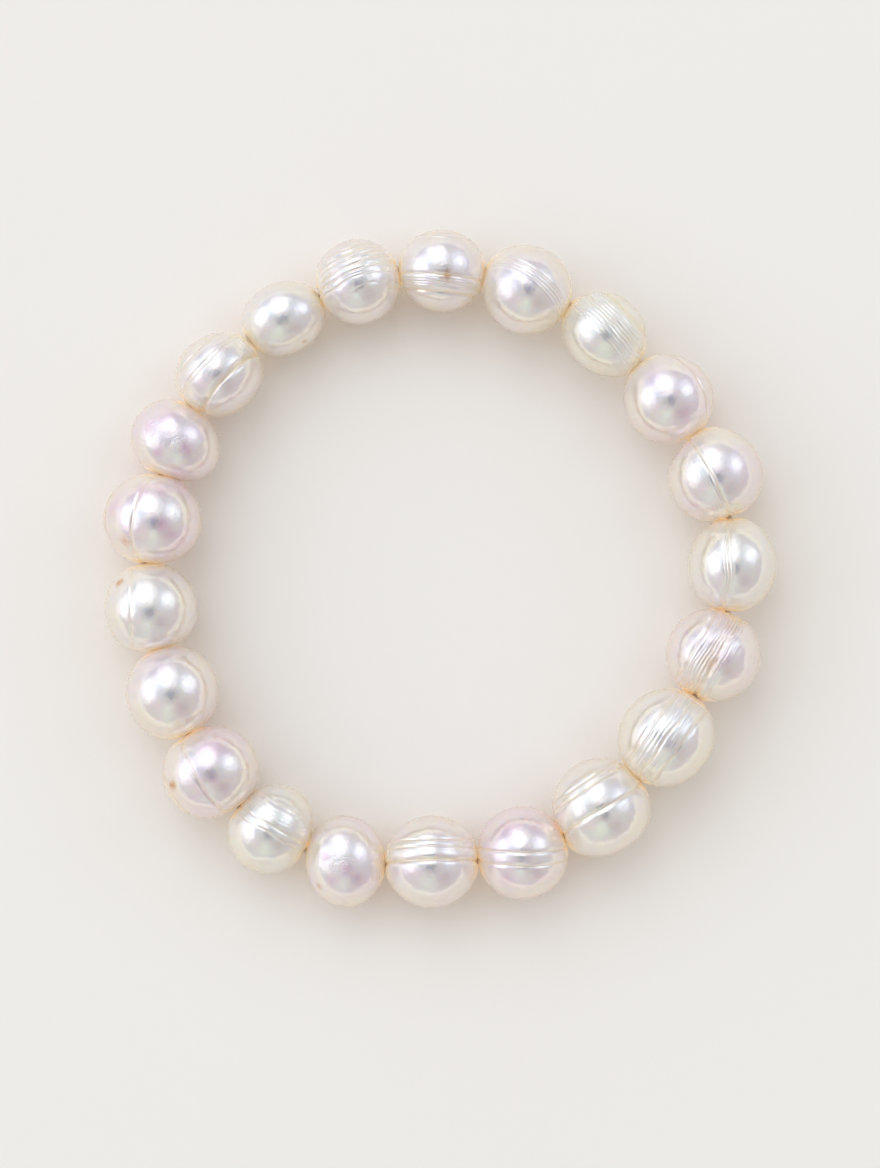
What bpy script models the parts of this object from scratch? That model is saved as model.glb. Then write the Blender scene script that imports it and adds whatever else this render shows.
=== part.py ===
# A bracelet of ringed pearls on one closed elastic thread, lying flat.
# Metres, +Z up, resting on z = 0, with the middle of its outline over the origin.

import math

import bmesh
import bpy
from mathutils import Matrix, Vector

# Driving sizes
PEARL_SIZE = 0.00905
PEARL_GAP = 0.0002
THREAD_DIAMETER = 0.0006
BORE_CLEARANCE = 0.0003

# Where the first pearl stands on the loop, in degrees from +X
FIRST_PEARL_TURN = 89.5

# Fineness of the round forms: a groove has rows at its bottom and GROOVE_SHOULDER widths to
# either side, and an even row nearer to them than ROW_CLEARANCE of a step is left out
PEARL_SIDES = 16
PEARL_ROWS = 10
BORE_SIDES = 10
THREAD_BEVEL_STEPS = 2
GROOVE_SHOULDER = 1.3
ROW_CLEARANCE = 0.55
POLE_PLACE = 0.97
DRILL_LENGTH_SHARE = 1.5

# How the loop is settled
SPACING_PASSES = 6
BISECTION_STEPS = 60

# A worn loop isn't quite round: each pearl's distance from the middle, as a share of the mean
LOOP_SHARES = [1.015, 0.995, 0.975, 0.97, 0.99, 0.995, 0.975, 0.96, 0.98, 1.005, 0.995,
               1.045, 1.055, 1.04, 1.0, 0.99, 0.99, 1.0, 1.0, 1.005, 1.015]

# One row for each pearl, clockwise from the top of the loop.
# length lies along the growth axis and width across it, as shares of PEARL_SIZE.
# grain is the growth axis's turn from the string's direction, and lean its rise, in degrees.
# full is the profile's power: 2 is an ellipse, and more is squarer, like a barrel.
# rings are grooves round the growth axis: place from -1 to 1 along it, depth and width in shares
# of the half width. lumps swell (+) or flatten (-) a side: turn from the string in degrees,
# height as a share of the radius there, and spread in degrees. rose is the pinker overtone.
PEARLS = [
    dict(length=0.91, width=0.95, grain=87, lean=0, full=2.1, rose=0.5,
         rings=[(-0.19, 0.03, 0.06), (-0.57, 0.05, 0.07)],
         lumps=[]),
    dict(length=0.99, width=1.0, grain=-105, lean=22, full=2.0, rose=0.5,
         rings=[(0.19, 0.03, 0.1)],
         lumps=[(-3, 0.02, 12), (157, 0.06, 30)]),
    dict(length=0.9, width=0.98, grain=81, lean=0, full=2.0, rose=0.0,
         rings=[(0.3, 0.02, 0.1), (0.7, 0.03, 0.08)],
         lumps=[(-90, -0.06, 35), (178, 0.05, 25), (-12, 0.06, 25)]),
    dict(length=1.0, width=0.995, grain=-100, lean=28, full=2.0, rose=0.7,
         rings=[(-0.3, 0.02, 0.06)],
         lumps=[(-8, -0.02, 20), (-178, 0.06, 30)]),
    dict(length=1.06, width=1.04, grain=-82, lean=3, full=2.1, rose=0.6,
         rings=[(0.18, 0.04, 0.08)],
         lumps=[(-148, -0.08, 16), (170, 0.04, 20), (-5, -0.08, 22)]),
    dict(length=0.985, width=1.075, grain=-93, lean=0, full=2.0, rose=0.2,
         rings=[(0.18, 0.03, 0.09)],
         lumps=[(121, -0.02, 25), (-5, -0.025, 25)]),
    dict(length=1.055, width=1.045, grain=-100, lean=8, full=2.0, rose=0.7,
         rings=[(-0.02, 0.03, 0.09), (0.38, 0.03, 0.07)],
         lumps=[(175, -0.02, 25)]),
    dict(length=1.06, width=1.12, grain=90, lean=9, full=2.0, rose=0.2,
         rings=[(-0.33, 0.03, 0.07), (0.07, 0.02, 0.06), (0.38, 0.03, 0.07)],
         lumps=[(86, -0.03, 25)]),
    dict(length=1.09, width=1.07, grain=85, lean=6, full=2.2, rose=0.3,
         rings=[(0.04, 0.04, 0.07), (-0.46, 0.03, 0.06)],
         lumps=[(18, 0.05, 16), (-108, 0.02, 30), (82, -0.05, 30), (-168, -0.04, 16),
                (-13, -0.05, 16)]),
    dict(length=1.03, width=1.02, grain=-107, lean=5, full=2.1, rose=0.9,
         rings=[(0.17, 0.03, 0.06), (-0.12, 0.03, 0.06)],
         lumps=[(48, 0.02, 25), (-172, -0.05, 22)]),
    dict(length=1.03, width=1.05, grain=89, lean=10, full=2.1, rose=0.5,
         rings=[(0.04, 0.06, 0.09), (-0.41, 0.02, 0.06)],
         lumps=[]),
    dict(length=1.025, width=0.92, grain=-69, lean=0, full=2.0, rose=0.8,
         rings=[],
         lumps=[(17, -0.04, 30), (162, -0.02, 25), (-8, -0.02, 25)]),
    dict(length=1.0, width=0.94, grain=-86, lean=0, full=2.1, rose=0.1,
         rings=[(0.15, 0.02, 0.07), (0.62, 0.02, 0.07)],
         lumps=[(-101, 0.04, 30), (-11, -0.11, 30), (-168, -0.04, 30)]),
    dict(length=1.08, width=1.03, grain=-95, lean=12, full=2.1, rose=0.8,
         rings=[(-0.04, 0.05, 0.08), (-0.75, 0.03, 0.07)],
         lumps=[(175, -0.07, 20), (-3, -0.05, 16)]),
    dict(length=1.06, width=1.045, grain=-50, lean=20, full=2.0, rose=0.6,
         rings=[],
         lumps=[(-170, -0.08, 22)]),
    dict(length=1.03, width=1.025, grain=83, lean=0, full=2.0, rose=0.3,
         rings=[(0.36, 0.02, 0.08)],
         lumps=[(-174, -0.16, 25)]),
    dict(length=1.11, width=1.025, grain=-91, lean=26, full=2.1, rose=0.9,
         rings=[(-0.06, 0.04, 0.08), (-0.75, 0.03, 0.07)],
         lumps=[(-167, -0.04, 20), (-2, -0.02, 25)]),
    dict(length=1.015, width=0.905, grain=-96, lean=0, full=2.0, rose=0.8,
         rings=[],
         lumps=[(-101, 0.04, 25), (-170, -0.09, 28), (-8, -0.07, 25)]),
    dict(length=0.93, width=0.99, grain=-92, lean=5, full=2.1, rose=0.5,
         rings=[(0.35, 0.07, 0.1), (-0.24, 0.03, 0.07), (-0.6, 0.02, 0.06)],
         lumps=[(61, -0.07, 28), (-44, 0.03, 25), (151, 0.02, 25),
                (-178, -0.02, 20)]),
    dict(length=0.955, width=0.82, grain=-9, lean=0, full=2.0, rose=0.3,
         rings=[],
         lumps=[(-94, -0.02, 30), (172, -0.02, 25)]),
    dict(length=0.95, width=0.94, grain=-85, lean=10, full=2.1, rose=0.4,
         rings=[(-0.15, 0.03, 0.07), (-0.4, 0.03, 0.07), (-0.65, 0.03, 0.07)],
         lumps=[(133, 0.03, 22)]),
]

# Finishes
CREAM = (0.87, 0.8, 0.7)
ROSE = (0.85, 0.75, 0.71)
NACRE_ROUGHNESS = 0.2
THREAD_COLOUR = (0.86, 0.82, 0.74)
THREAD_ROUGHNESS = 0.35


# Shapes of the pearls


def mix(first, second, share):
    return tuple(a + (b - a) * share for a, b in zip(first, second))


def row_angles(rings):
    """Angles from the growth axis's tip: even rows, with three at each groove in their place."""
    step = math.pi / PEARL_ROWS
    marks = []
    for place, _, width in rings:
        for side in (-GROOVE_SHOULDER, 0.0, GROOVE_SHOULDER):
            marks.append(math.acos(max(-POLE_PLACE, min(POLE_PLACE, place + side * width))))
    even = [step * row for row in range(1, PEARL_ROWS)]
    clear = step * ROW_CLEARANCE
    rows = marks + [angle for angle in even if all(abs(angle - mark) > clear for mark in marks)]
    rows.sort()
    return rows


def profile_radius(pearl, place):
    """Half width at a place from -1 to 1 along the growth axis, as a share of the widest."""
    radius = math.sqrt(max(0.0, 1.0 - abs(place) ** pearl["full"]))
    for ring_place, depth, width in pearl["rings"]:
        radius -= depth * math.exp(-((place - ring_place) / width) ** 2)
    return radius


def swell(pearl, point):
    """How much the pearl's lumps scale a point of its surface."""
    share = 1.0
    for turn, height, spread in pearl["lumps"]:
        middle = Vector((math.cos(math.radians(turn)), math.sin(math.radians(turn)), 0.0))
        away = math.degrees(point.angle(middle))
        share += height * math.exp(-(away / spread) ** 2)
    return share


def pearl_shape(pearl):
    """Points and faces of one pearl: x along the string, y outwards, z up, about its middle."""
    half_length = pearl["length"] * PEARL_SIZE / 2
    half_width = pearl["width"] * PEARL_SIZE / 2
    turn = math.radians(pearl["grain"])
    lean = math.radians(pearl["lean"])
    axis = Vector((math.cos(turn) * math.cos(lean), math.sin(turn) * math.cos(lean), math.sin(lean)))
    side = Vector((-math.sin(turn), math.cos(turn), 0.0))
    front = side.cross(axis)
    points = [axis * half_length]
    rows = row_angles(pearl["rings"])
    for angle in rows:
        place = math.cos(angle)
        radius = profile_radius(pearl, place) * half_width
        for corner in range(PEARL_SIDES):
            spin = 2 * math.pi * corner / PEARL_SIDES
            across = side * math.cos(spin) + front * math.sin(spin)
            points.append(axis * place * half_length + across * radius)
    points.append(axis * -half_length)
    points = [point * swell(pearl, point) for point in points]
    last = len(points) - 1
    faces = []
    for corner in range(PEARL_SIDES):
        after = (corner + 1) % PEARL_SIDES
        faces.append((0, 1 + corner, 1 + after))
        for row in range(len(rows) - 1):
            here = 1 + row * PEARL_SIDES
            below = here + PEARL_SIDES
            faces.append((here + corner, below + corner, below + after, here + after))
        bottom = 1 + (len(rows) - 1) * PEARL_SIDES
        faces.append((bottom + corner, last, bottom + after))
    return points, faces


# The loop


def reach(points, direction):
    """How far a pearl's surface reaches from its middle in a direction."""
    return max(point.dot(direction) for point in points)


def loop_turns(mean_radius, spacings):
    """The turn between each two pearls, for a loop of this mean radius."""
    count = len(spacings)
    turns = []
    for index, spacing in enumerate(spacings):
        here = mean_radius * LOOP_SHARES[index]
        after = mean_radius * LOOP_SHARES[(index + 1) % count]
        cosine = (here ** 2 + after ** 2 - spacing ** 2) / (2 * here * after)
        turns.append(math.acos(max(-1.0, min(1.0, cosine))))
    return turns


def close_loop(spacings):
    """Places of the pearls' middles in plan, clockwise, so that the last meets the first."""
    low = sum(spacings) / (4 * math.pi)
    high = sum(spacings) / math.pi
    for _ in range(BISECTION_STEPS):
        middle = (low + high) / 2
        if sum(loop_turns(middle, spacings)) > 2 * math.pi:
            low = middle
        else:
            high = middle
    turns = loop_turns(high, spacings)
    angle = math.radians(FIRST_PEARL_TURN)
    places = []
    for index, turn in enumerate(turns):
        distance = high * LOOP_SHARES[index]
        places.append(Vector((distance * math.cos(angle), distance * math.sin(angle), 0.0)))
        angle -= turn
    return places


def string_frame(middles, index):
    """Axes of one pearl: x along the string, y outwards and level, z up."""
    count = len(middles)
    along = middles[(index + 1) % count] - middles[index - 1]
    along.z = 0.0
    along.normalize()
    return Matrix((along, Vector((-along.y, along.x, 0.0)), Vector((0.0, 0.0, 1.0)))).transposed()


def string_pearls(shapes):
    """Middles and axes of the pearls, each one PEARL_GAP clear of the next and resting on z = 0."""
    count = len(shapes)
    heights = [-min(point.z for point in points) for points, _ in shapes]
    spacings = [PEARL_SIZE] * count
    for _ in range(SPACING_PASSES):
        middles = close_loop(spacings)
        for middle, height in zip(middles, heights):
            middle.z = height
        frames = [string_frame(middles, index) for index in range(count)]
        for index in range(count):
            after = (index + 1) % count
            step = (middles[after] - middles[index]).normalized()
            ahead = reach(shapes[index][0], frames[index].transposed() @ step)
            behind = reach(shapes[after][0], frames[after].transposed() @ -step)
            apart = ahead + behind + PEARL_GAP
            rise = heights[after] - heights[index]
            spacings[index] = math.sqrt(apart ** 2 - rise ** 2)
    return middles, frames


def centre_outline(shapes, middles, frames):
    """Shift the loop so that its outline's middle stands over the origin."""
    corners = [frame @ point + middle
               for (points, _), middle, frame in zip(shapes, middles, frames) for point in points]
    for axis in (0, 1):
        lowest = min(corner[axis] for corner in corners)
        highest = max(corner[axis] for corner in corners)
        for middle in middles:
            middle[axis] -= (lowest + highest) / 2


# Objects


def clear_scene():
    for item in list(bpy.data.objects):
        bpy.data.objects.remove(item, do_unlink=True)


def make_material(name, colour, roughness):
    material = bpy.data.materials.new(name)
    material.use_nodes = True
    shader = material.node_tree.nodes["Principled BSDF"]
    shader.inputs["Base Color"].default_value = (*colour, 1.0)
    shader.inputs["Roughness"].default_value = roughness
    shader.inputs["Metallic"].default_value = 0.0
    material.diffuse_color = (*colour, 1.0)
    return material


def add_mesh(name, points, faces, place):
    mesh = bpy.data.meshes.new(name)
    mesh.from_pydata(points, [], faces)
    form = bmesh.new()
    form.from_mesh(mesh)
    bmesh.ops.recalc_face_normals(form, faces=form.faces)
    form.to_mesh(mesh)
    form.free()
    item = bpy.data.objects.new(name, mesh)
    item.matrix_world = place
    bpy.context.collection.objects.link(item)
    return item


def bore_direction(middles, index):
    """The drilled hole runs straight, in line with the two neighbours."""
    return (middles[(index + 1) % len(middles)] - middles[index - 1]).normalized()


def make_drill(name, middle, direction):
    """The round cutter of one pearl's hole, longer than the pearl."""
    form = bmesh.new()
    radius = THREAD_DIAMETER / 2 + BORE_CLEARANCE
    bmesh.ops.create_cone(form, cap_ends=True, segments=BORE_SIDES, radius1=radius, radius2=radius,
                          depth=PEARL_SIZE * DRILL_LENGTH_SHARE)
    mesh = bpy.data.meshes.new(name)
    form.to_mesh(mesh)
    form.free()
    drill = bpy.data.objects.new(name, mesh)
    aim = direction.to_track_quat("Z", "Y").to_matrix().to_4x4()
    drill.matrix_world = Matrix.Translation(middle) @ aim
    drill.hide_render = True
    drill.display_type = "WIRE"
    bpy.context.collection.objects.link(drill)
    return drill


def make_pearl(number, row, shape, middle, frame, direction):
    points, faces = shape
    place = Matrix.Translation(middle) @ frame.to_4x4()
    pearl = add_mesh(f"pearl_{number:02d}", points, faces, place)
    colour = mix(CREAM, ROSE, row["rose"])
    pearl.data.materials.append(make_material(f"nacre_{number:02d}", colour, NACRE_ROUGHNESS))
    pearl.data.shade_smooth()
    drill = make_drill(f"drill_{number:02d}", middle, direction)
    bore = pearl.modifiers.new("bore", "BOOLEAN")
    bore.operation = "DIFFERENCE"
    bore.object = drill


def thread_route(shapes, middles, frames):
    """The thread runs straight through each hole and bends only between the pearls."""
    route = []
    for index, middle in enumerate(middles):
        direction = bore_direction(middles, index)
        inside = frames[index].transposed() @ direction
        points = shapes[index][0]
        route.append(middle - direction * reach(points, -inside))
        route.append(middle + direction * reach(points, inside))
    return route


def make_thread(route):
    curve = bpy.data.curves.new("elastic_thread", "CURVE")
    curve.dimensions = "3D"
    curve.bevel_depth = THREAD_DIAMETER / 2
    curve.bevel_resolution = THREAD_BEVEL_STEPS
    spline = curve.splines.new("POLY")
    spline.points.add(len(route) - 1)
    for point, place in zip(spline.points, route):
        point.co = (*place, 1.0)
    spline.use_cyclic_u = True
    spline.use_smooth = True
    thread = bpy.data.objects.new("elastic_thread", curve)
    curve.materials.append(make_material("elastic", THREAD_COLOUR, THREAD_ROUGHNESS))
    bpy.context.collection.objects.link(thread)


clear_scene()
pearl_shapes = [pearl_shape(row) for row in PEARLS]
pearl_middles, pearl_frames = string_pearls(pearl_shapes)
centre_outline(pearl_shapes, pearl_middles, pearl_frames)
for pearl_index, pearl_row in enumerate(PEARLS):
    make_pearl(pearl_index + 1, pearl_row, pearl_shapes[pearl_index], pearl_middles[pearl_index],
               pearl_frames[pearl_index], bore_direction(pearl_middles, pearl_index))
make_thread(thread_route(pearl_shapes, pearl_middles, pearl_frames))
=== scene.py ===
import math

import bpy
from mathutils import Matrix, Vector


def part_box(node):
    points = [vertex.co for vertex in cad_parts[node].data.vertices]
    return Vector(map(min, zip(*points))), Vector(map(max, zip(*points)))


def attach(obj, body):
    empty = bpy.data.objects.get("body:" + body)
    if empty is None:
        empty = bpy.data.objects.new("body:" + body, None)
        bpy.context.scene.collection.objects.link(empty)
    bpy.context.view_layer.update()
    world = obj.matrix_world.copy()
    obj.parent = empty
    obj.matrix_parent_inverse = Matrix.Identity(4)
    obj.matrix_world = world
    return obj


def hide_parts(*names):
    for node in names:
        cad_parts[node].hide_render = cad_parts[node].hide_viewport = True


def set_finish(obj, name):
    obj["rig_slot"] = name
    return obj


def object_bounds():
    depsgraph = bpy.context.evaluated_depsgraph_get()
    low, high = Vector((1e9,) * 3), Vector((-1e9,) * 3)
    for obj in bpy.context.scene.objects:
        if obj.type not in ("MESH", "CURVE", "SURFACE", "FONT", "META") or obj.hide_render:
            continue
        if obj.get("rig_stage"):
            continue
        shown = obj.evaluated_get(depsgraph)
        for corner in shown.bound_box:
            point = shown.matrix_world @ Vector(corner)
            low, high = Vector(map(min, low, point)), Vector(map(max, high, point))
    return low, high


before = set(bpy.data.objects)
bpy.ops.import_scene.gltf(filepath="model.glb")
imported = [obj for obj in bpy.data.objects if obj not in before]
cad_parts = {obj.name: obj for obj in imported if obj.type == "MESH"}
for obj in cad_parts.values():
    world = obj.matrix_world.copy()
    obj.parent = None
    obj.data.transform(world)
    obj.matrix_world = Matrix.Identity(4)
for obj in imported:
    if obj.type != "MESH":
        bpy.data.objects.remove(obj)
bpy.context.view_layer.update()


# A socket of any node tree, so that its maths can be written as plain sums.
class Wire:
    def __init__(self, tree, socket):
        self.tree = tree
        self.socket = socket

    def join(self, operation, first, second):
        vectors = [isVector(first), isVector(second)]
        if operation == "MULTIPLY" and vectors[0] != vectors[1]:
            vector, number = (first, second) if vectors[0] else (second, first)
            values = {0: vector, "Scale": number}
            return addNode(self.tree, "ShaderNodeVectorMath", {"operation": "SCALE"}, values)
        kind = "ShaderNodeVectorMath" if any(vectors) else "ShaderNodeMath"
        return addNode(self.tree, kind, {"operation": operation}, {0: first, 1: second})

    def __add__(self, other):
        return self.join("ADD", self, other)

    def __radd__(self, other):
        return self.join("ADD", other, self)

    def __sub__(self, other):
        return self.join("SUBTRACT", self, other)

    def __rsub__(self, other):
        return self.join("SUBTRACT", other, self)

    def __mul__(self, other):
        return self.join("MULTIPLY", self, other)

    def __rmul__(self, other):
        return self.join("MULTIPLY", other, self)

    def __truediv__(self, other):
        return self.join("DIVIDE", self, other)

    def __rtruediv__(self, other):
        return self.join("DIVIDE", other, self)

    def __pow__(self, other):
        return self.join("POWER", self, other)

    def math(self, operation, *others, clamp=False):
        values = dict(enumerate((self, *others)))
        return addNode(self.tree, "ShaderNodeMath", {"operation": operation, "use_clamp": clamp}, values)

    def vectorMath(self, operation, *others, out="Vector"):
        values = dict(enumerate((self, *others)))
        return addNode(self.tree, "ShaderNodeVectorMath", {"operation": operation}, values, out)


def isVector(part):
    return isinstance(part, (tuple, Vector)) or isinstance(part, Wire) and part.socket.type == "VECTOR"


# Adds any node: its type, its settings, then the values or links of its sockets.
def addNode(tree, kind, settings=None, values=None, out=0):
    node = tree.nodes.new(kind)
    for name, value in (settings or {}).items():
        setattr(node, name, value)
    for name, value in (values or {}).items():
        if isinstance(value, Wire):
            tree.links.new(value.socket, node.inputs[name])
        else:
            node.inputs[name].default_value = value
    return Wire(tree, node.outputs[out])


def blend(tree, share, first, second):
    return addNode(tree, "ShaderNodeMix", {"data_type": "RGBA"}, {0: share, 6: first, 7: second}, 2)


def addRamp(tree, share, stops):
    node = tree.nodes.new("ShaderNodeValToRGB")
    for count, (place, colour) in enumerate(stops):
        stop = node.color_ramp.elements[count] if count < 2 else node.color_ramp.elements.new(place)
        stop.position = place
        stop.color = (*colour, 1.0)
    tree.links.new(share.socket, node.inputs[0])
    return Wire(tree, node.outputs[0])


def bell(distance, width):  # 1 in the middle, fading to 0 about two widths away
    share = distance / width
    return (share * share * -1.0).math("EXPONENT")


def noise(tree, place, scale, seed, detail=2.0):
    values = {"Vector": place, "W": seed, "Scale": scale, "Detail": detail}
    return addNode(tree, "ShaderNodeTexNoise", {"noise_dimensions": "4D"}, values, "Fac")


def smoothStep(tree, value, start, end):  # 0 before the start, 1 past the end
    values = {"Value": value, "From Min": start, "From Max": end}
    return addNode(tree, "ShaderNodeMapRange", {"interpolation_type": "SMOOTHSTEP"}, values)


def bandEnds(place, start, end):  # each is 1 inside the band and falls to 0 at its own end
    rising = ((place - start) * pearlSizes["bandEdge"]).math("MULTIPLY", 1.0, clamp=True)
    falling = ((end - place) * pearlSizes["bandEdge"]).math("MULTIPLY", 1.0, clamp=True)
    return rising, falling


# The camera looks straight down, and its frame is 91.2 mm wide at the pearls' middles.
cameraSizes = dict(frameWidth=0.0912, middleHeight=0.0046, place=(0.0, -0.0016), lens=100.0, sensor=27.1)

distance = cameraSizes["frameWidth"] * cameraSizes["lens"] / cameraSizes["sensor"]
cameraData = bpy.data.cameras.new("camera")
cameraData.lens = cameraSizes["lens"]
cameraData.sensor_fit = "HORIZONTAL"
cameraData.sensor_width = cameraSizes["sensor"]
cameraData.clip_start = 0.01
camera = bpy.data.objects.new("camera", cameraData)
camera.location = (*cameraSizes["place"], cameraSizes["middleHeight"] + distance)
bpy.context.scene.collection.objects.link(camera)
bpy.context.scene.camera = camera
bpy.context.scene.view_settings.view_transform = "Standard"
bpy.context.scene.cycles.diffuse_bounces = 8  # light goes to and fro between the near pearls
bpy.context.scene.cycles.glossy_bounces = 8
print("camera set", round(distance, 4), "m above the pearls")


# Soft lights. turn is where each stands round the table, in degrees from the photo's right,
# and tilt is how far from straight overhead.
studio = dict(
    away=2.4,
    lights=[
        dict(name="topLight", turn=108, tilt=42, size=(3.2, 4.4), glow=1.22, colour=(1.0, 0.98, 0.93)),
        dict(name="leftLight", turn=173, tilt=58, size=(3.7, 2.8), glow=1.2, colour=(1.0, 0.98, 0.93)),
        dict(name="rightLight", turn=29, tilt=52, size=(2.5, 2.6), glow=0.86, colour=(1.0, 0.98, 0.96)),
    ],
    # the room from level to straight overhead: height, colour
    room=[(0.0, (0.98, 0.97, 0.88)), (0.17, (0.98, 0.97, 0.88)), (0.2, (0.61, 0.54, 0.6)),
          (0.45, (0.61, 0.58, 0.57)), (1.0, (0.62, 0.6, 0.58))],
    # paler and darker stretches of it: turn, tilt, width, colour added
    stretches=[(112, 42, 0.42, (0.1, 0.34, 0.66)), (168, 54, 0.44, (0.14, 0.34, 0.66)),
               (30, 50, 0.38, (0.0, 0.22, 0.5)), (262, 38, 0.2, (0.14, 0.27, 0.18)),
               (261, 62, 0.36, (0.12, 0.24, 0.16)), (309, 46, 0.3, (-0.18, -0.24, -0.2)),
               (220, 46, 0.26, (0.1, -0.03, 0.04)), (280, 6, 0.25, (-0.6, -0.57, -0.48))],
)


def aimAt(turn, tilt):
    turn, tilt = math.radians(turn), math.radians(tilt)
    return Vector((math.cos(turn) * math.sin(tilt), math.sin(turn) * math.sin(tilt), math.cos(tilt)))


for lamp in studio["lights"]:
    light = bpy.data.lights.new(lamp["name"], "AREA")
    light.shape = "ELLIPSE"
    light.size, light.size_y = lamp["size"]
    area = math.pi / 4 * lamp["size"][0] * lamp["size"][1]
    light.energy = lamp["glow"] * math.pi * area
    light.color = lamp["colour"]
    light.use_nodes = True
    tree = light.node_tree
    spot = addNode(tree, "ShaderNodeNewGeometry", out="Parametric")
    edge = spot.vectorMath("DISTANCE", (0.5, 0.5, 0.0), out="Value")
    soft = addNode(tree, "ShaderNodeMapRange", {"interpolation_type": "SMOOTHSTEP"},
                   {"Value": edge, "From Min": 0.0, "From Max": 0.5, "To Min": 1.0, "To Max": 0.0})
    tree.links.new(soft.socket, tree.nodes["Emission"].inputs["Strength"])
    aim = aimAt(lamp["turn"], lamp["tilt"])
    item = bpy.data.objects.new(lamp["name"], light)
    item.location = aim * studio["away"]
    item.rotation_mode = "QUATERNION"
    item.rotation_quaternion = aim.to_track_quat("Z", "Y")
    item.visible_camera = False
    bpy.context.scene.collection.objects.link(item)

world = bpy.data.worlds.new("studio")
world.use_nodes = True
tree = world.node_tree
skyPlace = addNode(tree, "ShaderNodeTexCoord", out="Generated")
level = addNode(tree, "ShaderNodeSeparateXYZ", values={0: skyPlace}, out="Z")
room = addRamp(tree, level, studio["room"])
for turn, tilt, width, colour in studio["stretches"]:
    away = skyPlace.vectorMath("DISTANCE", tuple(aimAt(turn, tilt)), out="Value")
    room = room + bell(away, width) * colour
tree.links.new(room.socket, tree.nodes["Background"].inputs["Color"])
bpy.context.scene.world = world
print("lights set:", len(studio["lights"]))


floorLook = dict(half=2.0, colour=(0.99, 0.92, 0.82), paler=1.02, patchScale=25.0, patchSeed=0.3,
                 roughness=0.9, shine=0.15)


def makeFloor():
    half = floorLook["half"]
    mesh = bpy.data.meshes.new("floor")
    corners = [(-half, -half, 0), (half, -half, 0), (half, half, 0), (-half, half, 0)]
    mesh.from_pydata(corners, [], [(0, 1, 2, 3)])
    floor = bpy.data.objects.new("floor", mesh)
    bpy.context.scene.collection.objects.link(floor)
    material = bpy.data.materials.new("paleCard")
    material.use_nodes = True
    tree = material.node_tree
    shader = tree.nodes["Principled BSDF"]
    place = addNode(tree, "ShaderNodeTexCoord", out="Object")
    soft = noise(tree, place, floorLook["patchScale"], floorLook["patchSeed"], 3.0)
    paler = tuple(min(1.0, part * floorLook["paler"]) for part in floorLook["colour"])
    tint = blend(tree, soft, (*floorLook["colour"], 1.0), (*paler, 1.0))
    tree.links.new(tint.socket, shader.inputs["Base Color"])
    shader.inputs["Roughness"].default_value = floorLook["roughness"]
    shader.inputs["Specular IOR Level"].default_value = floorLook["shine"]
    mesh.materials.append(material)
    floor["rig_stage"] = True


makeFloor()
print("floor made")


# Pearls, clockwise from the top of the loop. grow and lean are the turn and rise of the axis that
# the pearl grew round, in degrees from the photo's right. length and width are along and across it.
# full is 2 for an oval and more for a barrel, rose is how pink the nacre is, wobble bends the rings,
# breaks makes them come and go, and swell is how much wider than its solid the pearl is from left
# to right, so that it meets its neighbours.
# Round the axis, by place from -1 to 1: rings are grooves (place, depth, width), lines are finer
# ones (place, depth, width), or ridges where the depth is below 0, and waves are a band of small
# folds (from, to, spacing, depth). lumps swell or flatten a side (turn, height, spread in degrees).
# On the upper side, by x and y in half widths: dents and bulges (x, y, height, spread), rough
# pitted patches (x, y, size, depth), painted lilac sheen round the highlights and brown spots (x, y, size,
# strength).
pearlSizes = dict(half=0.00452, rise=1.02, segments=112, rows=190, maxRings=9, maxLumps=10, maxRough=2,
                  lineDepth=0.006, lineWidth=1.5, waveDepth=0.0011, pitDepth=0.02, bandEdge=25.0,
                  unevenness=0.03, slowScale=1.1, quickScale=3.0, unevenScale=1.4, pitScale=11.0,
                  bandDrift=9.0, seedStep=1.7, boreRadius=0.0006, boreReach=0.008, boreSides=24)
plainPearl = dict(full=2.0, wobble=0.12, breaks=0.8, swell=1.036, rings=[], waves=[], lines=[], lumps=[],
                  dents=[], rough=[], lilacSheen=[], spots=[])

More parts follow.
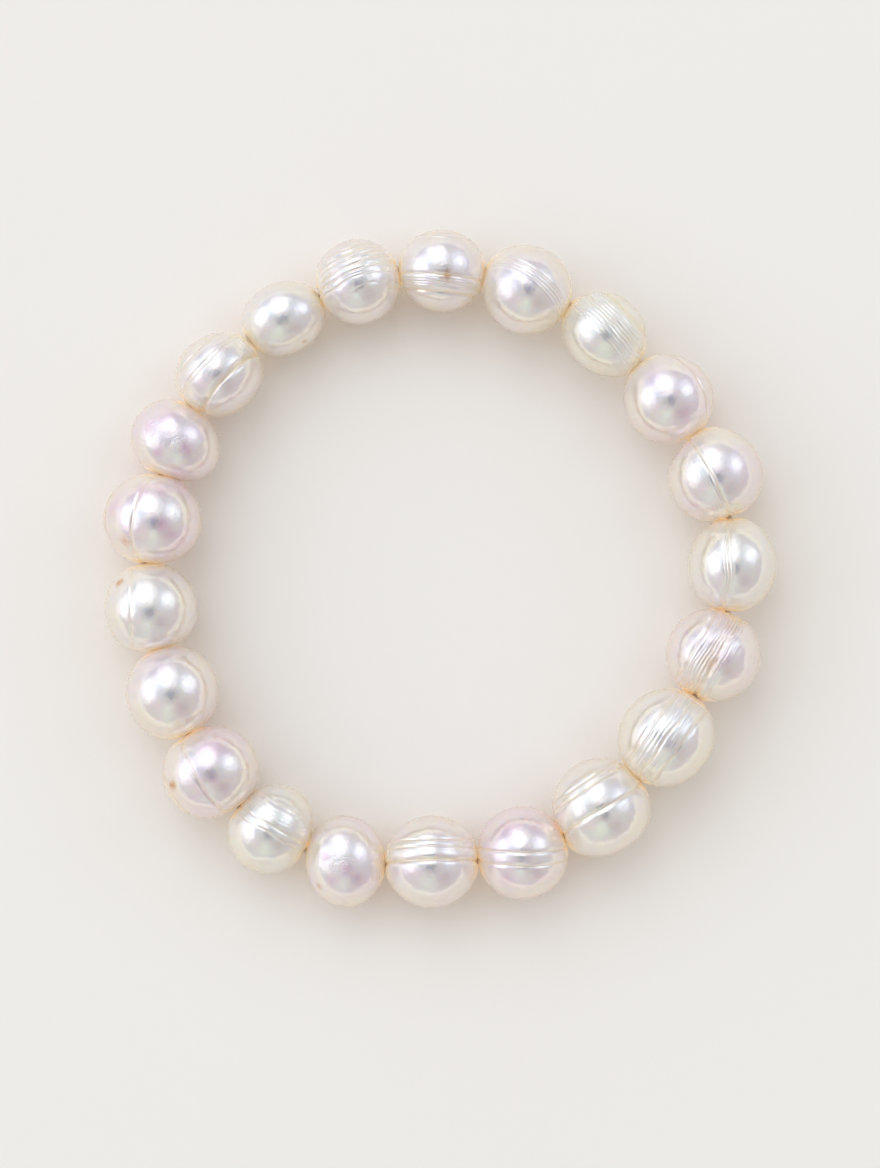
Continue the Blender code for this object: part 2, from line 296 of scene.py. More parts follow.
pearls = [
    dict(name="pearl_01", grow=84, lean=0, length=0.91, width=0.95, full=2.1, rose=0.5, seed=1, swell=1.07,
         rings=[(-0.19, 0.015, 0.05), (-0.57, 0.035, 0.05), (-0.4, 0.012, 0.06)],
         waves=[(-0.54, -0.24, 0.06, 3.0)],
         lines=[(0.75, -1.8, 0.016), (-0.19, 1.0, 0.02), (-0.44, -0.8, 0.02), (-0.56, 0.9, 0.022)],
         rough=[(0.05, 0.02, 0.1, 0.8)],
         spots=[(0.12, -0.2, 0.16, 0.6)]),
    dict(name="pearl_02", grow=233, lean=29, length=0.99, width=1.0, rose=0.5, seed=2,
         rings=[(0.2, 0.01, 0.1)],
         waves=[(0.08, 0.34, 0.08, 2.5)],
         lines=[(0.08, 1.0, 0.018), (0.33, -0.8, 0.018)],
         lumps=[(-24, 0.02, 12), (136, 0.06, 30)],
         dents=[(0.74, -0.31, 0.03, 13)]),
    dict(name="pearl_03", grow=43, lean=0, length=0.9, width=0.98, rose=0.0, seed=3,
         rings=[(0.3, 0.02, 0.1), (0.7, 0.04, 0.08)],
         waves=[(-0.2, 0.62, 0.09, 4.0)],
         lumps=[(-128, -0.06, 35), (140, 0.05, 25), (-50, 0.06, 25)],
         rough=[(-0.05, 0.0, 0.3, 0.4)]),
    dict(name="pearl_04", grow=208, lean=28, length=1.0, width=0.995, rose=0.7, seed=4,
         rings=[(-0.3, 0.012, 0.04)],
         lines=[(-0.3, 1.0, 0.02)],
         lumps=[(-60, -0.02, 20), (130, 0.06, 30)],
         lilacSheen=[(0.3, -0.35, 0.18, 0.4), (-0.4, 0.5, 0.2, 0.3)]),
    dict(name="pearl_05", grow=208, lean=3, length=1.06, width=1.04, full=2.1, rose=0.6, seed=5,
         rings=[(0.18, 0.015, 0.04)],
         waves=[(0.22, 0.42, 0.06, 0.8)],
         lines=[(0.18, 1.2, 0.02)],
         lumps=[(143, -0.08, 16), (101, 0.04, 20), (-74, -0.08, 22)],
         dents=[(0.0, -0.7, -0.02, 10)]),
    dict(name="pearl_06", grow=176, lean=0, length=0.985, width=1.075, rose=0.2, seed=6, wobble=0.3,
         rings=[(0.18, 0.022, 0.08)],
         waves=[(0.08, 0.3, 0.06, 4.5)],
         lumps=[(30, -0.02, 25), (-96, -0.025, 25)],
         dents=[(-0.37, -0.55, 0.015, 10), (-0.15, -0.64, 0.015, 10)]),
    dict(name="pearl_07", grow=149, lean=-6, length=1.055, width=1.045, rose=0.7, seed=7, wobble=0.2,
         breaks=4.0,
         rings=[(-0.02, 0.035, 0.18), (0.38, 0.012, 0.05), (0.24, 0.014, 0.03), (-0.12, 0.02, 0.03)],
         waves=[(-0.3, 0.3, 0.07, 4.0)],
         lines=[(0.37, 0.9, 0.018), (-0.36, -1.0, 0.025)],
         lumps=[(64, -0.02, 25)],
         rough=[(-0.05, -0.05, 0.3, 1.8)],
         lilacSheen=[(0.2, -0.05, 0.2, 0.3), (0.3, 0.6, 0.2, 0.25)],
         spots=[(-0.12, -0.12, 0.22, 0.22)]),
    dict(name="pearl_08", grow=324, lean=9, length=1.06, width=1.12, rose=0.2, seed=8, wobble=0.2,
         breaks=3.0,
         rings=[(-0.33, 0.012, 0.05), (0.07, 0.01, 0.04), (0.38, 0.012, 0.05)],
         waves=[(-0.42, 0.3, 0.09, 2.6)],
         lines=[(-0.34, 0.8, 0.018), (-0.26, 0.5, 0.015), (0.07, 0.8, 0.018), (0.38, 0.9, 0.018)],
         lumps=[(-40, -0.03, 25)]),
    dict(name="pearl_09", grow=303, lean=6, length=1.09, width=1.07, full=2.2, rose=0.3, seed=9,
         rings=[(0.05, 0.02, 0.05), (-0.46, 0.012, 0.05), (-0.6, 0.01, 0.04)],
         waves=[(0.12, 0.28, 0.05, 0.5)],
         lines=[(0.045, 1.2, 0.02), (-0.46, 1.0, 0.02), (-0.6, 0.8, 0.018), (-0.53, 0.4, 0.015)],
         lumps=[(-123, 0.05, 16), (111, 0.02, 30), (-59, -0.05, 30), (51, -0.04, 16), (-154, -0.05, 16)]),
    dict(name="pearl_10", grow=90, lean=5, length=1.03, width=1.02, full=2.1, rose=0.9, seed=10,
         rings=[(0.16, 0.014, 0.04), (-0.12, 0.014, 0.04)],
         lines=[(0.16, 1.0, 0.02), (-0.12, 1.0, 0.02)],
         lumps=[(-114, 0.02, 25), (26, -0.05, 22)],
         lilacSheen=[(-0.3, 0.55, 0.25, 0.45), (0.25, 0.6, 0.2, 0.35), (-0.35, -0.5, 0.15, 0.4),
                (0.35, -0.45, 0.15, 0.35)]),
    dict(name="pearl_11", grow=272, lean=10, length=1.03, width=1.05, full=2.1, rose=0.5, seed=11,
         rings=[(0.04, 0.035, 0.06), (-0.41, 0.01, 0.04), (-0.25, 0.008, 0.03)],
         waves=[(-0.24, -0.1, 0.05, 0.7)],
         lines=[(0.04, 1.3, 0.022), (-0.41, 0.9, 0.018), (-0.25, 0.7, 0.018)]),
    dict(name="pearl_12", grow=100, lean=0, length=1.025, width=0.92, rose=0.8, seed=12,
         lumps=[(-174, -0.04, 30), (-29, -0.02, 25), (161, -0.02, 25)],
         rough=[(-0.05, -0.05, 0.25, 2.6), (-0.45, 0.15, 0.2, 1.6)],
         lilacSheen=[(-0.45, 0.2, 0.14, 0.6), (0.05, -0.1, 0.13, 0.7), (-0.3, -0.4, 0.12, 0.5),
                (0.35, -0.35, 0.16, 0.4)],
         spots=[(-0.6, -0.55, 0.1, 0.6)]),
    dict(name="pearl_13", grow=60, lean=0, length=1.0, width=0.94, full=2.1, rose=0.1, seed=13,
         rings=[(0.15, 0.01, 0.05), (0.63, 0.01, 0.05)],
         waves=[(-0.05, 0.6, 0.085, 0.9)],
         lines=[(0.63, -1.0, 0.02), (0.15, 0.8, 0.018), (-0.02, 0.8, 0.018)],
         lumps=[(45, 0.04, 30), (135, -0.11, 30), (-22, -0.04, 30)],
         dents=[(-0.05, -0.78, -0.03, 9)]),
    dict(name="pearl_14", grow=31, lean=12, length=1.08, width=1.03, full=2.1, rose=0.8, seed=14,
         rings=[(-0.04, 0.016, 0.03), (-0.75, 0.024, 0.05)],
         lines=[(-0.01, 0.9, 0.018), (-0.07, 0.8, 0.018), (-0.75, 1.0, 0.02)],
         lumps=[(-59, -0.07, 20), (123, -0.05, 16)],
         rough=[(0.0, -0.1, 0.12, 0.6)],
         lilacSheen=[(0.0, 0.6, 0.25, 0.5), (0.3, 0.5, 0.2, 0.4), (0.1, -0.1, 0.16, 0.5),
                (0.35, -0.35, 0.14, 0.4), (-0.1, -0.4, 0.12, 0.5)],
         spots=[(-0.76, -0.23, 0.12, 0.9)]),
    dict(name="pearl_15", grow=60, lean=20, length=1.06, width=1.045, rose=0.6, seed=15,
         lumps=[(-60, -0.08, 22)],
         dents=[(-0.77, 0.3, -0.02, 8), (0.2, -0.64, -0.02, 8)],
         lilacSheen=[(-0.2, 0.55, 0.25, 0.25), (0.2, -0.4, 0.2, 0.25)]),
    dict(name="pearl_16", grow=180, lean=0, length=1.03, width=1.025, rose=0.3, seed=16,
         rings=[(0.36, 0.01, 0.06)],
         lines=[(0.36, 0.7, 0.025)],
         lumps=[(-77, -0.16, 25)],
         dents=[(-0.29, -0.47, -0.02, 8), (0.22, -0.58, -0.02, 8)],
         rough=[(-0.1, -0.25, 0.2, 0.5)],
         spots=[(-0.64, 0.56, 0.12, 0.7)]),
    dict(name="pearl_17", grow=351, lean=26, length=1.11, width=1.025, full=2.1, rose=0.9, seed=17,
         rings=[(0.08, 0.012, 0.03), (-0.75, 0.024, 0.05)],
         lines=[(0.07, 0.8, 0.02), (0.11, 0.5, 0.015), (-0.76, 1.0, 0.02)],
         lumps=[(-85, -0.04, 20), (80, -0.02, 25)],
         dents=[(-0.12, -0.38, -0.01, 6), (-0.2, -0.55, -0.01, 6)],
         lilacSheen=[(-0.15, 0.6, 0.22, 0.55), (0.25, 0.6, 0.2, 0.5), (0.3, -0.12, 0.16, 0.9),
                (0.48, -0.32, 0.1, 0.7), (-0.8, 0.2, 0.2, 0.5)],
         spots=[(-0.54, -0.48, 0.13, 0.7)]),
    dict(name="pearl_18", grow=330, lean=0, length=1.015, width=0.905, rose=0.8, seed=18,
         lumps=[(-36, 0.05, 25), (-105, -0.12, 26), (57, -0.08, 22)],
         dents=[(-0.35, 0.6, -0.03, 12), (-0.15, -0.55, -0.04, 14)],
         rough=[(0.1, -0.15, 0.22, 2.6), (-0.5, 0.3, 0.3, 2.2)],
         lilacSheen=[(0.0, 0.6, 0.3, 0.4), (-0.55, 0.3, 0.16, 0.5), (0.35, -0.2, 0.16, 0.8),
                (-0.35, -0.35, 0.14, 0.6)]),
    dict(name="pearl_19", grow=317, lean=5, length=0.93, width=0.99, full=2.1, rose=0.5, seed=19,
         rings=[(0.35, 0.05, 0.07), (-0.24, 0.012, 0.06), (-0.6, 0.01, 0.05)],
         lines=[(-0.6, 0.9, 0.018), (-0.54, 0.5, 0.015), (-0.2, 0.9, 0.018), (-0.28, 0.9, 0.018),
                (0.38, 1.0, 0.02)],
         lumps=[(110, -0.07, 28), (5, 0.03, 25), (-160, 0.02, 25), (-129, -0.02, 20)]),
    dict(name="pearl_20", grow=25, lean=0, length=0.955, width=0.82, rose=0.3, seed=20,
         lumps=[(-60, -0.02, 30), (-154, -0.02, 25)],
         spots=[(0.6, -0.65, 0.1, 0.5)]),
    dict(name="pearl_21", grow=292, lean=10, length=0.95, width=0.94, full=2.1, rose=0.4, seed=21,
         wobble=0.25, breaks=4.5,
         rings=[(-0.66, 0.016, 0.04), (-0.51, 0.02, 0.045), (-0.37, 0.018, 0.04), (-0.2, 0.024, 0.045),
                (-0.04, 0.024, 0.04), (0.13, 0.018, 0.04), (0.42, 0.01, 0.03)],
         waves=[(-0.8, 0.2, 0.09, 2.2)],
         lumps=[(150, 0.03, 22)]),
]
pearls = [{**plainPearl, **pearl} for pearl in pearls]


# The nacre's colours, its painted bluer sky reflection on the upper side, its painted lilac sheen round the
# highlights, its painted warm glow near the drilled holes where the pearls touch, and its gloss.
nacreLook = dict(
    cream=(0.89, 0.81, 0.69), rose=(0.89, 0.79, 0.71), green=(0.84, 0.83, 0.79), mauve=(0.86, 0.69, 0.77),
    patchShare=0.7, patchEdge=(0.35, 0.65), skyReflectionTint=(0.98, 1.01, 1.08), skyReflectionEdge=(0.68, 0.82),
    peach=(0.87, 0.7, 0.5), grooveTint=10.0, lilacSheen=(0.8, 0.55, 0.68), stain=(0.55, 0.26, 0.06),
    metal=0.55, roughness=0.1, pittedRoughness=0.06,
    contactGlowTint=(1.0, 0.72, 0.36), contactGlowSpread=0.3, boreDull=0.5, boreRoughness=0.4,
    glow=(0.22, 0.06, 0.0), glowSpread=0.24, halo=(0.13, 0.12, 0.08), haloSpread=0.5,
    seedStep=3.7, broadScale=1.2, unevenScale=2.6, fineScale=7.0, pitScale=26.0, skyReflectionDrift=0.1,
    waveDrift=0.15, waveHeight=0.0018, lineDepth=0.004, pitDepth=0.012,
    broadHeight=0.01, fineHeight=0.01, bumpDistance=0.0045,
    gloss={"IOR": 1.6, "Emission Strength": 1.0, "Specular Tint": (1.0, 0.95, 0.86, 1.0),
           "Subsurface Weight": 1.0, "Subsurface Scale": 0.008, "Subsurface Radius": (1.0, 0.75, 0.5)},
)


def onUpperSide(x, y):  # the point of a round pearl over x and y
    return (x, y, math.sqrt(max(0.0, 1 - x * x - y * y)))


def makeNacre(pearl, toward):
    material = bpy.data.materials.new("nacre" + pearl["name"][-2:])
    material.use_nodes = True
    tree = material.node_tree
    shader = tree.nodes["Principled BSDF"]
    seed = pearl["seed"] * nacreLook["seedStep"]
    place = addNode(tree, "ShaderNodeAttribute", {"attribute_name": "ringPlace"}, out="Fac")
    point = addNode(tree, "ShaderNodeAttribute", {"attribute_name": "fromMiddle"}, out="Vector")
    broad = noise(tree, point, nacreLook["broadScale"], seed)
    uneven = noise(tree, point, nacreLook["unevenScale"], seed + 3.0)
    fine = noise(tree, point, nacreLook["fineScale"], seed, 4.0)
    rose = pearl["rose"]
    body = [a + (b - a) * rose for a, b in zip(nacreLook["cream"], nacreLook["rose"])]
    cool = [a + (b - a) * rose for a, b in zip(nacreLook["green"], nacreLook["mauve"])]
    # painted reflection of the cool room overhead: the upper side of each pearl is made bluer
    skyReflectedColour = [part * change for part, change in zip(body, nacreLook["skyReflectionTint"])]
    share = smoothStep(tree, broad, *nacreLook["patchEdge"])
    level = addNode(tree, "ShaderNodeSeparateXYZ", values={0: point}, out="Z")
    skyReflectedShare = smoothStep(tree, level + (broad - 0.5) * nacreLook["skyReflectionDrift"], *nacreLook["skyReflectionEdge"])
    colour = blend(tree, skyReflectedShare, (*body, 1.0), (*skyReflectedColour, 1.0))
    colour = blend(tree, share * nacreLook["patchShare"], colour, (*cool, 1.0))
    groove = None
    for ringPlace, depth, width in pearl["rings"]:
        part = bell(place - ringPlace, width * 0.8) * min(1.0, depth * nacreLook["grooveTint"])
        groove = part if groove is None else groove + part
    if groove is not None:
        colour = blend(tree, groove.math("MINIMUM", 0.8), colour, (*nacreLook["peach"], 1.0))
    for linePlace, depth, width in pearl["lines"]:
        if depth > 0:
            mark = bell(place - linePlace, width) * fine * min(0.9, depth * 0.7)
            colour = blend(tree, mark, colour, (*nacreLook["peach"], 1.0))
    # painted lilac sheen round the highlights, mixed into the base colour at the listed spots
    for x, y, size, strength in pearl["lilacSheen"]:
        away = point.vectorMath("DISTANCE", onUpperSide(x, y), out="Value")
        sheenShare = bell(away + (fine - 0.5) * size * 1.5, size) * strength
        colour = blend(tree, sheenShare, colour, (*nacreLook["lilacSheen"], 1.0))
    for x, y, size, strength in pearl["spots"]:
        away = point.vectorMath("DISTANCE", onUpperSide(x, y), out="Value")
        stain = bell(away + (fine - 0.5) * size * 2.5, size * 0.8) * strength
        colour = blend(tree, stain, colour, (*nacreLook["stain"], 1.0))
    metal = nacreLook["metal"]
    rough = nacreLook["roughness"]
    pitted = []
    for x, y, size, depth in pearl["rough"]:
        away = point.vectorMath("DISTANCE", onUpperSide(x, y), out="Value")
        pitted.append((bell(away, size), depth))
        rough = rough + pitted[-1][0] * (depth * nacreLook["pittedRoughness"])
    glow = point * 0.0  # light that comes through the nacre where two pearls touch
    for way in (toward, -toward):
        away = point.vectorMath("DISTANCE", tuple(way), out="Value")
        # painted warm light where two pearls touch: the base colour turns orange round each drilled hole
        colour = blend(tree, bell(away, nacreLook["contactGlowSpread"]), colour, (*nacreLook["contactGlowTint"], 1.0))
        near = bell(away, nacreLook["boreDull"])
        metal = metal - near * nacreLook["metal"]
        rough = rough + near * nacreLook["boreRoughness"]
        glow = glow + bell(away, nacreLook["glowSpread"]) * nacreLook["glow"]
        glow = glow + bell(away, nacreLook["haloSpread"]) * nacreLook["halo"]
    tree.links.new(colour.socket, shader.inputs["Base Color"])
    tree.links.new(metal.math("MAXIMUM", 0.0).socket, shader.inputs["Metallic"])
    tree.links.new(rough.socket, shader.inputs["Roughness"])
    tree.links.new(glow.socket, shader.inputs["Emission Color"])

    # the finest marks, as bump
    height = (broad - 0.5) * nacreLook["broadHeight"] + (fine - 0.5) * nacreLook["fineHeight"]
    for low, high, spacing, depth in pearl["waves"]:
        rising, falling = bandEnds(place, low, high)
        drifted = place + (broad - 0.5) * nacreLook["waveDrift"]
        wave = (drifted * (2 * math.pi / spacing)).math("SINE")
        height = height + wave * rising * falling * uneven * (depth * nacreLook["waveHeight"])
    for linePlace, depth, width in pearl["lines"]:
        height = height - bell(place - linePlace, width) * (uneven + 0.5) * (depth * nacreLook["lineDepth"])
    if pitted:
        pits = noise(tree, point, nacreLook["pitScale"], seed, 3.0) - 0.5
        for patch, depth in pitted:
            height = height + pits * patch * (depth * nacreLook["pitDepth"])
    values = {"Height": height, "Distance": nacreLook["bumpDistance"], "Strength": 1.0}
    bump = addNode(tree, "ShaderNodeBump", values=values)
    tree.links.new(bump.socket, shader.inputs["Normal"])
    for name, value in nacreLook["gloss"].items():
        shader.inputs[name].default_value = value
    return material


def makePearlTree():
    tree = bpy.data.node_groups.new("ringedPearl", "GeometryNodeTree")
    names = {}

    def newInput(name, kind):
        socket = tree.interface.new_socket(name, in_out="INPUT", socket_type="NodeSocket" + kind)
        names[name] = socket.identifier

    newInput("Segments", "Int")
    newInput("Rows", "Int")
    for name in ("Axis", "Bore Toward", "Box Low", "Box High"):
        newInput(name, "Vector")
    for name in ("Half Length", "Half Width", "Full", "Seed", "Bore Radius", "Wobble", "Breaks",
                 "Unevenness"):
        newInput(name, "Float")
    for count in range(pearlSizes["maxRings"]):
        for name in ("Place", "Depth", "Width"):
            newInput(f"Ring {count + 1} {name}", "Float")
    for count in range(pearlSizes["maxLumps"]):
        newInput(f"Lump {count + 1} Toward", "Vector")
        newInput(f"Lump {count + 1} Height", "Float")
        newInput(f"Lump {count + 1} Spread", "Float")
    for name in ("From", "To", "Spacing", "Depth"):
        newInput("Wave " + name, "Float")
    for count in range(pearlSizes["maxRough"]):
        newInput(f"Rough {count + 1} Toward", "Vector")
        newInput(f"Rough {count + 1} Depth", "Float")
        newInput(f"Rough {count + 1} Spread", "Float")
    newInput("Nacre", "Material")
    tree.interface.new_socket("Pearl", in_out="OUTPUT", socket_type="NodeSocketGeometry")
    group = tree.nodes.new("NodeGroupInput")

    def given(name):
        return Wire(tree, group.outputs[name])

    # the smooth body of turning, about its growth axis
    sphere = addNode(tree, "GeometryNodeMeshUVSphere",
                     values={"Segments": given("Segments"), "Rings": given("Rows"), "Radius": 1.0})
    start = addNode(tree, "GeometryNodeInputPosition")
    x, y, z = (addNode(tree, "ShaderNodeSeparateXYZ", values={0: start}, out=part) for part in "XYZ")
    flat = (x * x + y * y).math("SQRT")
    axis = given("Axis")
    side = addNode(tree, "ShaderNodeVectorMath", {"operation": "CROSS_PRODUCT"},
                   {0: (0.0, 0.0, 1.0), 1: axis}).vectorMath("NORMALIZE")
    front = side.vectorMath("CROSS_PRODUCT", axis)
    seed = given("Seed")
    slow = noise(tree, start, pearlSizes["slowScale"], seed)
    quick = noise(tree, start, pearlSizes["quickScale"], seed + 5.0)
    place = z + (slow - 0.5) * given("Wobble")
    radius = (1.0 - z.math("ABSOLUTE") ** given("Full")).math("MAXIMUM", 0.0).math("SQRT")
    broken = ((quick - 0.5) * given("Breaks") + 1.0).math("MAXIMUM", 0.0)
    for count in range(pearlSizes["maxRings"]):
        ring = f"Ring {count + 1} "
        groove = bell(place - given(ring + "Place"), given(ring + "Width"))
        radius = radius - groove * given(ring + "Depth") * broken
    rising, falling = bandEnds(place, given("Wave From"), given("Wave To"))
    wave = place * (2 * math.pi) / given("Wave Spacing") + (slow - 0.5) * pearlSizes["bandDrift"]
    wave = wave.math("SINE")
    radius = radius + wave * rising * falling * broken * given("Wave Depth")
    radius = radius.math("MAXIMUM", 0.0) * given("Half Width")
    across = side * (x / flat) + front * (y / flat)
    shaped = axis * (z * given("Half Length")) + across * radius

    # lumps and flats on its sides, and a slight unevenness
    facing = shaped.vectorMath("NORMALIZE")
    uneven = noise(tree, facing, pearlSizes["unevenScale"], seed + 9.0)
    share = 1.0 + (uneven - 0.5) * given("Unevenness")
    for count in range(pearlSizes["maxLumps"]):
        lump = f"Lump {count + 1} "
        away = facing.vectorMath("DOT_PRODUCT", given(lump + "Toward"), out="Value").math("ARCCOSINE")
        share = share + bell(away, given(lump + "Spread")) * given(lump + "Height")
    pits = noise(tree, facing, pearlSizes["pitScale"], seed + 2.0) - 0.5
    for count in range(pearlSizes["maxRough"]):
        patch = f"Rough {count + 1} "
        away = facing.vectorMath("DISTANCE", given(patch + "Toward"), out="Value")
        share = share + pits * bell(away, given(patch + "Spread")) * given(patch + "Depth")
    shaped = shaped * share
    pearl = addNode(tree, "GeometryNodeStoreNamedAttribute", {"data_type": "FLOAT"},
                    {"Geometry": sphere, "Name": "ringPlace", "Value": place})
    pearl = addNode(tree, "GeometryNodeSetPosition", values={"Geometry": pearl, "Position": shaped})
    fromMiddle = addNode(tree, "GeometryNodeInputPosition") * (1.0 / given("Half Width"))
    pearl = addNode(tree, "GeometryNodeStoreNamedAttribute", {"data_type": "FLOAT_VECTOR"},
                    {"Geometry": pearl, "Name": "fromMiddle", "Value": fromMiddle})

    # drilled for the thread, then set in the CAD pearl's box
    bounds = tree.nodes.new("GeometryNodeBoundBox")
    tree.links.new(pearl.socket, bounds.inputs["Geometry"])
    low, high = Wire(tree, bounds.outputs["Min"]), Wire(tree, bounds.outputs["Max"])
    toward = given("Bore Toward")
    reach = pearlSizes["boreReach"]
    bore = addNode(tree, "GeometryNodeCurvePrimitiveLine",
                   values={"Start": toward * -reach, "End": toward * reach})
    circle = addNode(tree, "GeometryNodeCurvePrimitiveCircle",
                     values={"Resolution": pearlSizes["boreSides"], "Radius": given("Bore Radius")})
    drill = addNode(tree, "GeometryNodeCurveToMesh",
                    values={"Curve": bore, "Profile Curve": circle, "Fill Caps": True})
    pearl = addNode(tree, "GeometryNodeMeshBoolean", {"operation": "DIFFERENCE", "solver": "EXACT"},
                    {"Mesh 1": pearl, "Mesh 2": drill})
    fit = (given("Box High") - given("Box Low")).vectorMath("DIVIDE", high - low)
    here = addNode(tree, "GeometryNodeInputPosition")
    fitted = (here - low).vectorMath("MULTIPLY", fit) + given("Box Low")
    pearl = addNode(tree, "GeometryNodeSetPosition", values={"Geometry": pearl, "Position": fitted})
    pearl = addNode(tree, "GeometryNodeSetShadeSmooth", values={"Geometry": pearl, "Shade Smooth": True})
    pearl = addNode(tree, "GeometryNodeRealizeInstances", values={"Geometry": pearl})
    pearl = addNode(tree, "GeometryNodeSetMaterial", values={"Geometry": pearl, "Material": given("Nacre")})
    output = tree.nodes.new("NodeGroupOutput")
    tree.links.new(pearl.socket, output.inputs["Pearl"])
    return tree, names


def runTree(name, mesh, tree, values):  # the tree's result as a plain mesh
    item = bpy.data.objects.new(name, mesh)
    bpy.context.scene.collection.objects.link(item)
    modifier = item.modifiers.new("shape", "NODES")
    modifier.node_group = tree
    for identifier, value in values.items():
        modifier[identifier] = value
    result = bpy.data.meshes.new_from_object(item.evaluated_get(bpy.context.evaluated_depsgraph_get()))
    item.modifiers.clear()
    item.data = result
    result.name = name
    return item


def directionOf(turn, rise=0.0):
    turn, rise = math.radians(turn), math.radians(rise)
    return Vector((math.cos(turn) * math.cos(rise), math.sin(turn) * math.cos(rise), math.sin(rise)))


def makePearl(pearl, tree, names, toward):
    low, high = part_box(pearl["name"])
    middle, half = (low + high) / 2, (high - low) / 2
    swellX, swellY = pearl["swell"], plainPearl["swell"]
    boxLow = Vector((middle.x - half.x * swellX, middle.y - half.y * swellY, low.z))
    boxHigh = Vector((middle.x + half.x * swellX, middle.y + half.y * swellY,
                      low.z + half.z * 2 * pearlSizes["rise"]))
    given = {
        "Segments": pearlSizes["segments"], "Rows": pearlSizes["rows"],
        "Axis": directionOf(pearl["grow"], pearl["lean"]), "Bore Toward": toward,
        "Box Low": boxLow, "Box High": boxHigh,
        "Half Length": pearl["length"] * pearlSizes["half"],
        "Half Width": pearl["width"] * pearlSizes["half"],
        "Full": pearl["full"], "Seed": pearl["seed"] * pearlSizes["seedStep"],
        "Bore Radius": pearlSizes["boreRadius"],
        "Wobble": pearl["wobble"], "Breaks": pearl["breaks"], "Unevenness": pearlSizes["unevenness"],
        "Nacre": makeNacre(pearl, toward),
    }
    rings = list(pearl["rings"])
    for place, depth, width in pearl["lines"]:
        rings.append((place, depth * pearlSizes["lineDepth"], width * pearlSizes["lineWidth"]))
    waves = pearl["waves"][0] if pearl["waves"] else (0.0, 0.0, 1.0, 0.0)
    for name, value in zip(("From", "To", "Spacing", "Depth"), waves):
        given["Wave " + name] = value * (pearlSizes["waveDepth"] if name == "Depth" else 1.0)
    for count in range(pearlSizes["maxRings"]):
        ring = rings[count] if count < len(rings) else (0.0, 0.0, 1.0)
        for name, value in zip(("Place", "Depth", "Width"), ring):
            given[f"Ring {count + 1} {name}"] = value
    lumps = [(directionOf(turn), height, spread) for turn, height, spread in pearl["lumps"]]
    for x, y, height, spread in pearl["dents"]:
        lumps.append((Vector(onUpperSide(x, y)).normalized(), height, spread))
    for count in range(pearlSizes["maxLumps"]):
        aim, height, spread = lumps[count] if count < len(lumps) else (Vector((0, 0, 1)), 0.0, 60.0)
        given[f"Lump {count + 1} Toward"] = aim
        given[f"Lump {count + 1} Height"] = height
        given[f"Lump {count + 1} Spread"] = math.radians(spread)
    for count in range(pearlSizes["maxRough"]):
        x, y, size, depth = pearl["rough"][count] if count < len(pearl["rough"]) else (0.0, 0.0, 1.0, 0.0)
        given[f"Rough {count + 1} Toward"] = Vector(onUpperSide(x, y))
        given[f"Rough {count + 1} Depth"] = depth * pearlSizes["pitDepth"]
        given[f"Rough {count + 1} Spread"] = size
    values = {}
    for name, value in given.items():
        values[names[name]] = tuple(value) if isinstance(value, Vector) else value
    name = "nacrePearl" + pearl["name"][-2:]
    return runTree(name, bpy.data.meshes.new(name), tree, values)


boxMiddles = []
for pearl in pearls:
    low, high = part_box(pearl["name"])
    boxMiddles.append((low + high) / 2)


def boreToward(count):  # each pearl is drilled along the line from the last pearl to the next
    return (boxMiddles[(count + 1) % len(pearls)] - boxMiddles[count - 1]).normalized()


pearlTree, pearlNames = makePearlTree()
for count, pearl in enumerate(pearls):
    piece = makePearl(pearl, pearlTree, pearlNames, boreToward(count))
    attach(piece, "root")
    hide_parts(pearl["name"])
    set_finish(piece, "nacre")
print("pearls made:", len(pearls))


# The elastic thread runs straight through the middle of each drilled pearl and bends between them.
threadSizes = dict(thickness=0.0006, sides=12, straight=0.0032, bend=0.0012)
elasticLook = dict(colour=(0.86, 0.78, 0.66), paler=(0.92, 0.87, 0.78), fibreScale=900.0, fibreSeed=0.5,
                   fibreHeight=0.00003, roughness=0.35, subsurface=0.3, subsurfaceScale=0.0006)


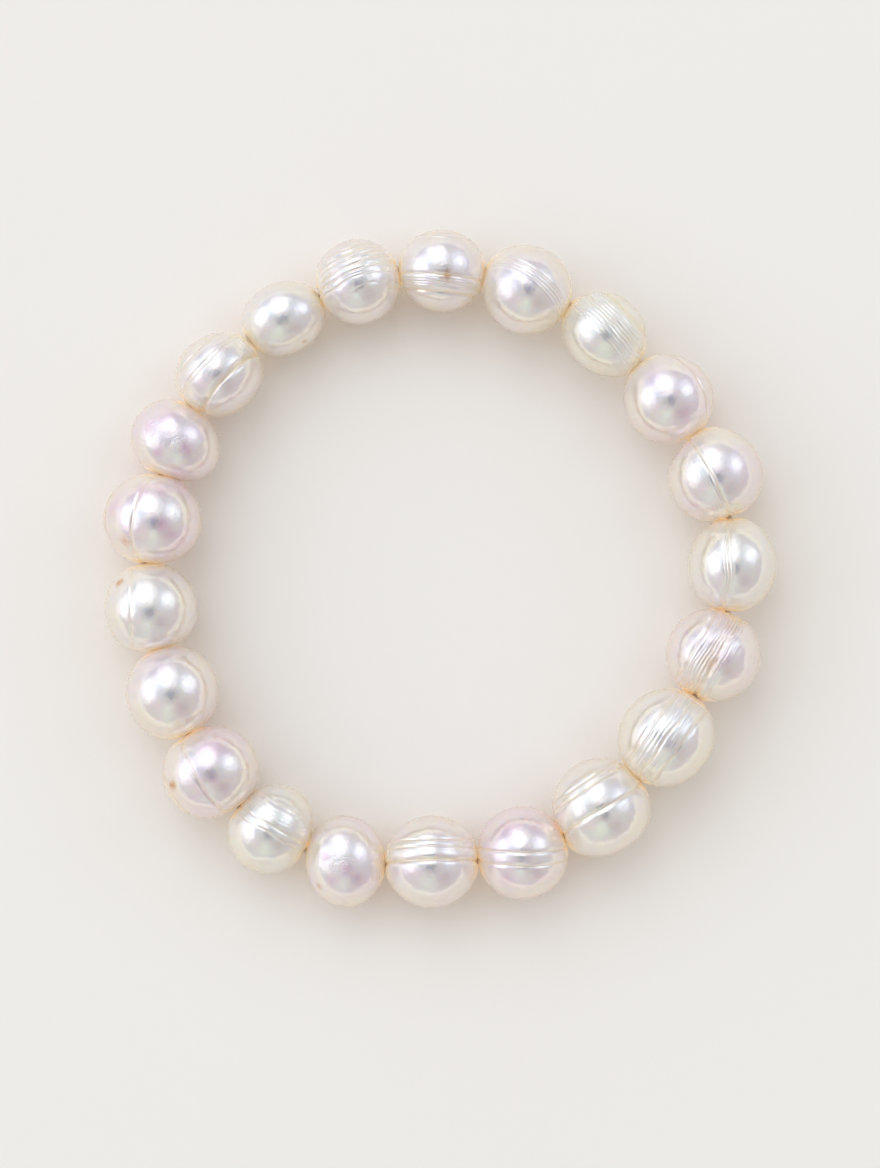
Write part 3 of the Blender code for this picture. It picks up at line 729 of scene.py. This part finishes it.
def makeThreadTree():
    tree = bpy.data.node_groups.new("elasticThread", "GeometryNodeTree")
    names = {}
    for name, kind in (("Route", "Geometry"), ("Thickness", "Float"), ("Sides", "Int"),
                       ("Bend Radius", "Float"), ("Elastic", "Material")):
        socket = tree.interface.new_socket(name, in_out="INPUT", socket_type="NodeSocket" + kind)
        names[name] = socket.identifier
    tree.interface.new_socket("Thread", in_out="OUTPUT", socket_type="NodeSocketGeometry")
    group = tree.nodes.new("NodeGroupInput")

    def given(name):
        return Wire(tree, group.outputs[name])

    route = addNode(tree, "GeometryNodeMeshToCurve", values={"Mesh": given("Route")})
    route = addNode(tree, "GeometryNodeFilletCurve", values={
        "Curve": route, "Radius": given("Bend Radius"), "Limit Radius": True})
    circle = addNode(tree, "GeometryNodeCurvePrimitiveCircle",
                     values={"Resolution": given("Sides"), "Radius": given("Thickness") * 0.5})
    thread = addNode(tree, "GeometryNodeCurveToMesh", values={"Curve": route, "Profile Curve": circle})
    thread = addNode(tree, "GeometryNodeSetShadeSmooth", values={"Geometry": thread, "Shade Smooth": True})
    thread = addNode(tree, "GeometryNodeRealizeInstances", values={"Geometry": thread})
    thread = addNode(tree, "GeometryNodeSetMaterial",
                     values={"Geometry": thread, "Material": given("Elastic")})
    output = tree.nodes.new("NodeGroupOutput")
    tree.links.new(thread.socket, output.inputs["Thread"])
    return tree, names


def makeElastic():
    material = bpy.data.materials.new("clearElastic")
    material.use_nodes = True
    tree = material.node_tree
    shader = tree.nodes["Principled BSDF"]
    place = addNode(tree, "ShaderNodeTexCoord", out="Object")
    fibre = noise(tree, place, elasticLook["fibreScale"], elasticLook["fibreSeed"], 3.0)
    colour = blend(tree, fibre, (*elasticLook["colour"], 1.0), (*elasticLook["paler"], 1.0))
    tree.links.new(colour.socket, shader.inputs["Base Color"])
    values = {"Height": fibre, "Distance": elasticLook["fibreHeight"], "Strength": 1.0}
    bump = addNode(tree, "ShaderNodeBump", values=values)
    tree.links.new(bump.socket, shader.inputs["Normal"])
    shader.inputs["Roughness"].default_value = elasticLook["roughness"]
    shader.inputs["Subsurface Weight"].default_value = elasticLook["subsurface"]
    shader.inputs["Subsurface Scale"].default_value = elasticLook["subsurfaceScale"]
    return material


stringPoints = []
for count, middle in enumerate(boxMiddles):
    reach = boreToward(count) * threadSizes["straight"]
    stringPoints += [middle - reach, middle + reach]
routeMesh = bpy.data.meshes.new("elasticThread")
edges = [(count, (count + 1) % len(stringPoints)) for count in range(len(stringPoints))]
routeMesh.from_pydata(stringPoints, edges, [])
threadTree, threadNames = makeThreadTree()
threadValues = {"Thickness": threadSizes["thickness"], "Sides": threadSizes["sides"],
                "Bend Radius": threadSizes["bend"], "Elastic": makeElastic()}
thread = runTree("elasticThread", routeMesh, threadTree,
                 {threadNames[name]: value for name, value in threadValues.items()})
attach(thread, "root")
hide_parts("elastic_thread")
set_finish(thread, "elastic")
print("thread made:", len(thread.data.vertices), "points")

low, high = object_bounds()
pieces = [item for item in bpy.data.objects if item.type == "MESH" and "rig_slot" in item]
print("size written, faces:", sum(len(piece.data.polygons) for piece in pieces))
